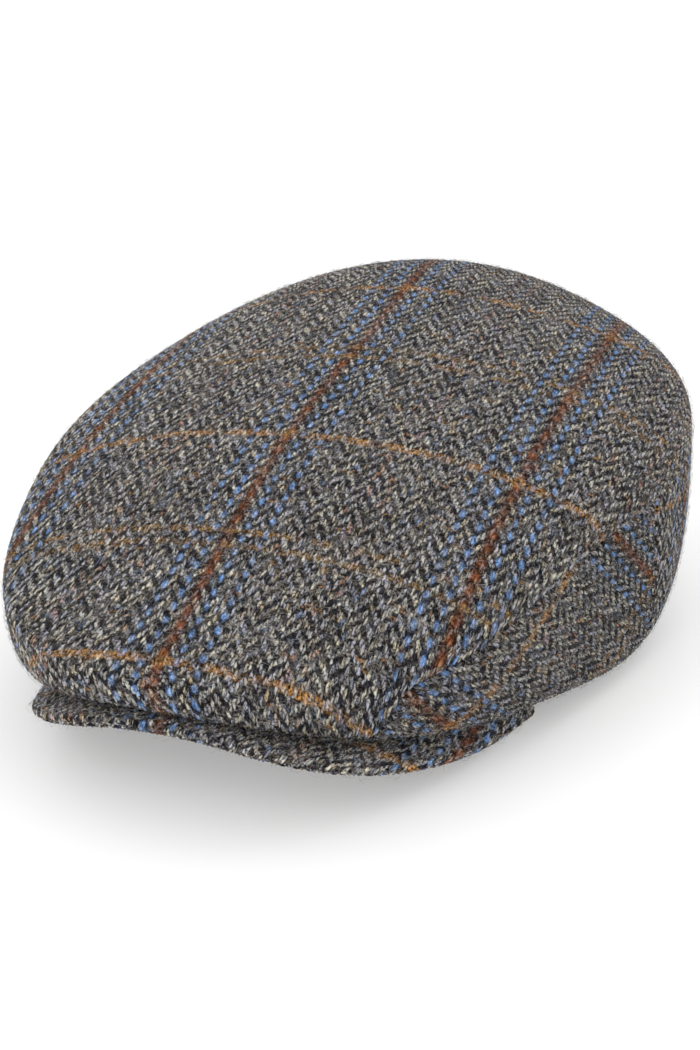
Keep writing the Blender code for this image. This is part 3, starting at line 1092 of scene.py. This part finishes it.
TOP = Panel(top_panel, (44, 60), (-0.017, -0.40), (-0.017, 0.30), (-0.010, 0.1325), eased_top)
LEFT_SIDE = side_cut(1)
RIGHT_SIDE = side_cut(-1)
BACK = Panel(back_panel, (90, 16), (0.02, -0.5), (0.02, 0.5), (0.02, 0.3), None)
PEAK_UPPER = Panel(peak_upper, (60, 14), (0.0, -0.5), (0.0, 0.4), (-0.317, 0.34), eased_peak)
PEAK_LOWER = Panel(peak_lower, (60, 10), (0.0, -0.4), (0.0, 0.5), (0.0, 0.4), None)

# How bright each part's cloth shows: the peak's copy is lighter, which is painted light, and the walls' copy
# is darker, which is painted shade
TONES_WITH_PAINTED_LIGHT = {"tweed": 0.95, "shaded_wall_tweed": 0.83, "peak_tweed": 1.16}

# A piece of cloth: the solid it stands for, the record's slot, its finish, its panel and what it is sewn to
Piece = namedtuple("Piece", "name node slot finish panel sewn_to")
BELOW_TOP = ("side_panel_left", "side_panel_right", "back_panel")
BESIDE_SIDES = ("crown_top", "back_panel")
# The walls take the darker copy of the cloth, with painted shade, and the peak pieces take the brighter copy,
# with painted light
PIECES = (
    Piece("crown_top_cloth", "crown_top", "tweed", "tweed", TOP, BELOW_TOP),
    Piece("side_cloth_left", "side_panel_left", "tweed", "shaded_wall_tweed", LEFT_SIDE, BESIDE_SIDES),
    Piece("side_cloth_right", "side_panel_right", "tweed", "shaded_wall_tweed", RIGHT_SIDE, BESIDE_SIDES),
    Piece("back_cloth", "back_panel", "tweed", "shaded_wall_tweed", BACK, ("crown_top",)),
    Piece("peak_cloth_upper", "peak", "peak_tweed", "peak_tweed", PEAK_UPPER, ("crown_top",)),
    Piece("peak_cloth_lower", "peak", "peak_tweed", "peak_tweed", PEAK_LOWER, ("crown_top",)),
)

# The studio in metres and watts: a pale, faintly glowing floor and area lights that face the cap
FLOOR_HALF_SIZE = 6.0
FLOOR_GREY = 0.7
FLOOR_GLOW = 0.3
LIT_PLACE = (0.0, 0.0, 0.05)
Light = namedtuple("Light", "name place size power")
LIGHTS = (
    Light("key", (-0.5, -1.3, 1.0), 1.2, 5.2),
    Light("fill", (1.3, -0.9, 0.6), 1.4, 1.0),
    Light("rear", (0.2, 1.2, 1.8), 1.8, 9.6),
)


def place_camera():
    azimuth, elevation, roll = (math.radians(a) for a in (CAMERA_AZIMUTH, CAMERA_ELEVATION, CAMERA_ROLL))
    out = math.cos(elevation)
    back = Vector((math.sin(azimuth) * out, -math.cos(azimuth) * out, math.sin(elevation)))
    level = Vector((math.cos(azimuth), math.sin(azimuth), 0.0))
    upright = back.cross(level)
    right = math.cos(roll) * level + math.sin(roll) * upright
    up = math.cos(roll) * upright - math.sin(roll) * level
    place = Vector(CAMERA_TARGET) + CAMERA_DISTANCE * back + CAMERA_OFFSET[0] * right + CAMERA_OFFSET[1] * up
    camera = bpy.data.objects.new("camera", bpy.data.cameras.new("camera"))
    camera.data.sensor_fit = "VERTICAL"
    camera.data.sensor_height = SENSOR_HEIGHT
    camera.data.lens = CAMERA_LENS
    camera.data.clip_start = 0.01
    turn = Matrix((right, up, back)).transposed()
    camera.matrix_world = Matrix.Translation(place * MM) @ turn.to_4x4()
    bpy.context.scene.collection.objects.link(camera)
    bpy.context.scene.camera = camera


def make_floor():
    mesh = bpy.data.meshes.new("floor")
    low, high = -FLOOR_HALF_SIZE, FLOOR_HALF_SIZE
    mesh.from_pydata([(low, low, 0), (high, low, 0), (high, high, 0), (low, high, 0)], [], [(0, 1, 2, 3)])
    material = bpy.data.materials.new("floor")
    material.use_nodes = True
    shader = material.node_tree.nodes["Principled BSDF"]
    shader.inputs["Base Color"].default_value = (FLOOR_GREY, FLOOR_GREY, FLOOR_GREY, 1.0)
    shader.inputs["Roughness"].default_value = 0.8
    shader.inputs["Emission Color"].default_value = (1.0, 1.0, 1.0, 1.0)
    shader.inputs["Emission Strength"].default_value = FLOOR_GLOW
    mesh.materials.append(material)
    floor = bpy.data.objects.new("floor", mesh)
    bpy.context.scene.collection.objects.link(floor)


def add_light(name, place, size, power):
    data = bpy.data.lights.new(name, "AREA")
    data.size = size
    data.energy = power
    light = bpy.data.objects.new(name, data)
    light.location = place
    light.rotation_euler = (Vector(LIT_PLACE) - Vector(place)).to_track_quat("-Z", "Y").to_euler()
    bpy.context.scene.collection.objects.link(light)


def light_scene():
    world = bpy.data.worlds.new("studio")
    world.use_nodes = True
    background = world.node_tree.nodes["Background"]
    background.inputs["Color"].default_value = (1.0, 1.0, 1.0, 1.0)
    background.inputs["Strength"].default_value = 1.0
    bpy.context.scene.world = world
    bpy.context.scene.view_settings.view_transform = "Standard"
    for light in LIGHTS:
        add_light(*light)


def main():
    random = np.random.default_rng(FIBRE_SEED)
    materials = {name: tweed(name, tone) for name, tone in TONES_WITH_PAINTED_LIGHT.items()}
    fibres = []
    for name, node, slot, finish, panel, sewn_to in PIECES:
        flat = flattened(panel)
        piece = make_mesh(name, [woven_skin(panel, flat)], materials[finish])
        # The peak's two cloths close round its board, so they need no body behind the skin
        inside = []
        if node != "peak":
            inside = [make_mesh(name + "_inside", [inner_wall(panel, flat)], materials[finish])]
        for part in (piece, *inside):
            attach(part, "root")
            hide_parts(node)
        width, length, area = cut_size(flat)
        fibres.append(loose_fibres(panel, flat, random))
    piece = make_mesh("loose_fibres", fibres, loose_wool())
    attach(piece, "root")
    place_camera()
    make_floor()
    light_scene()


main()
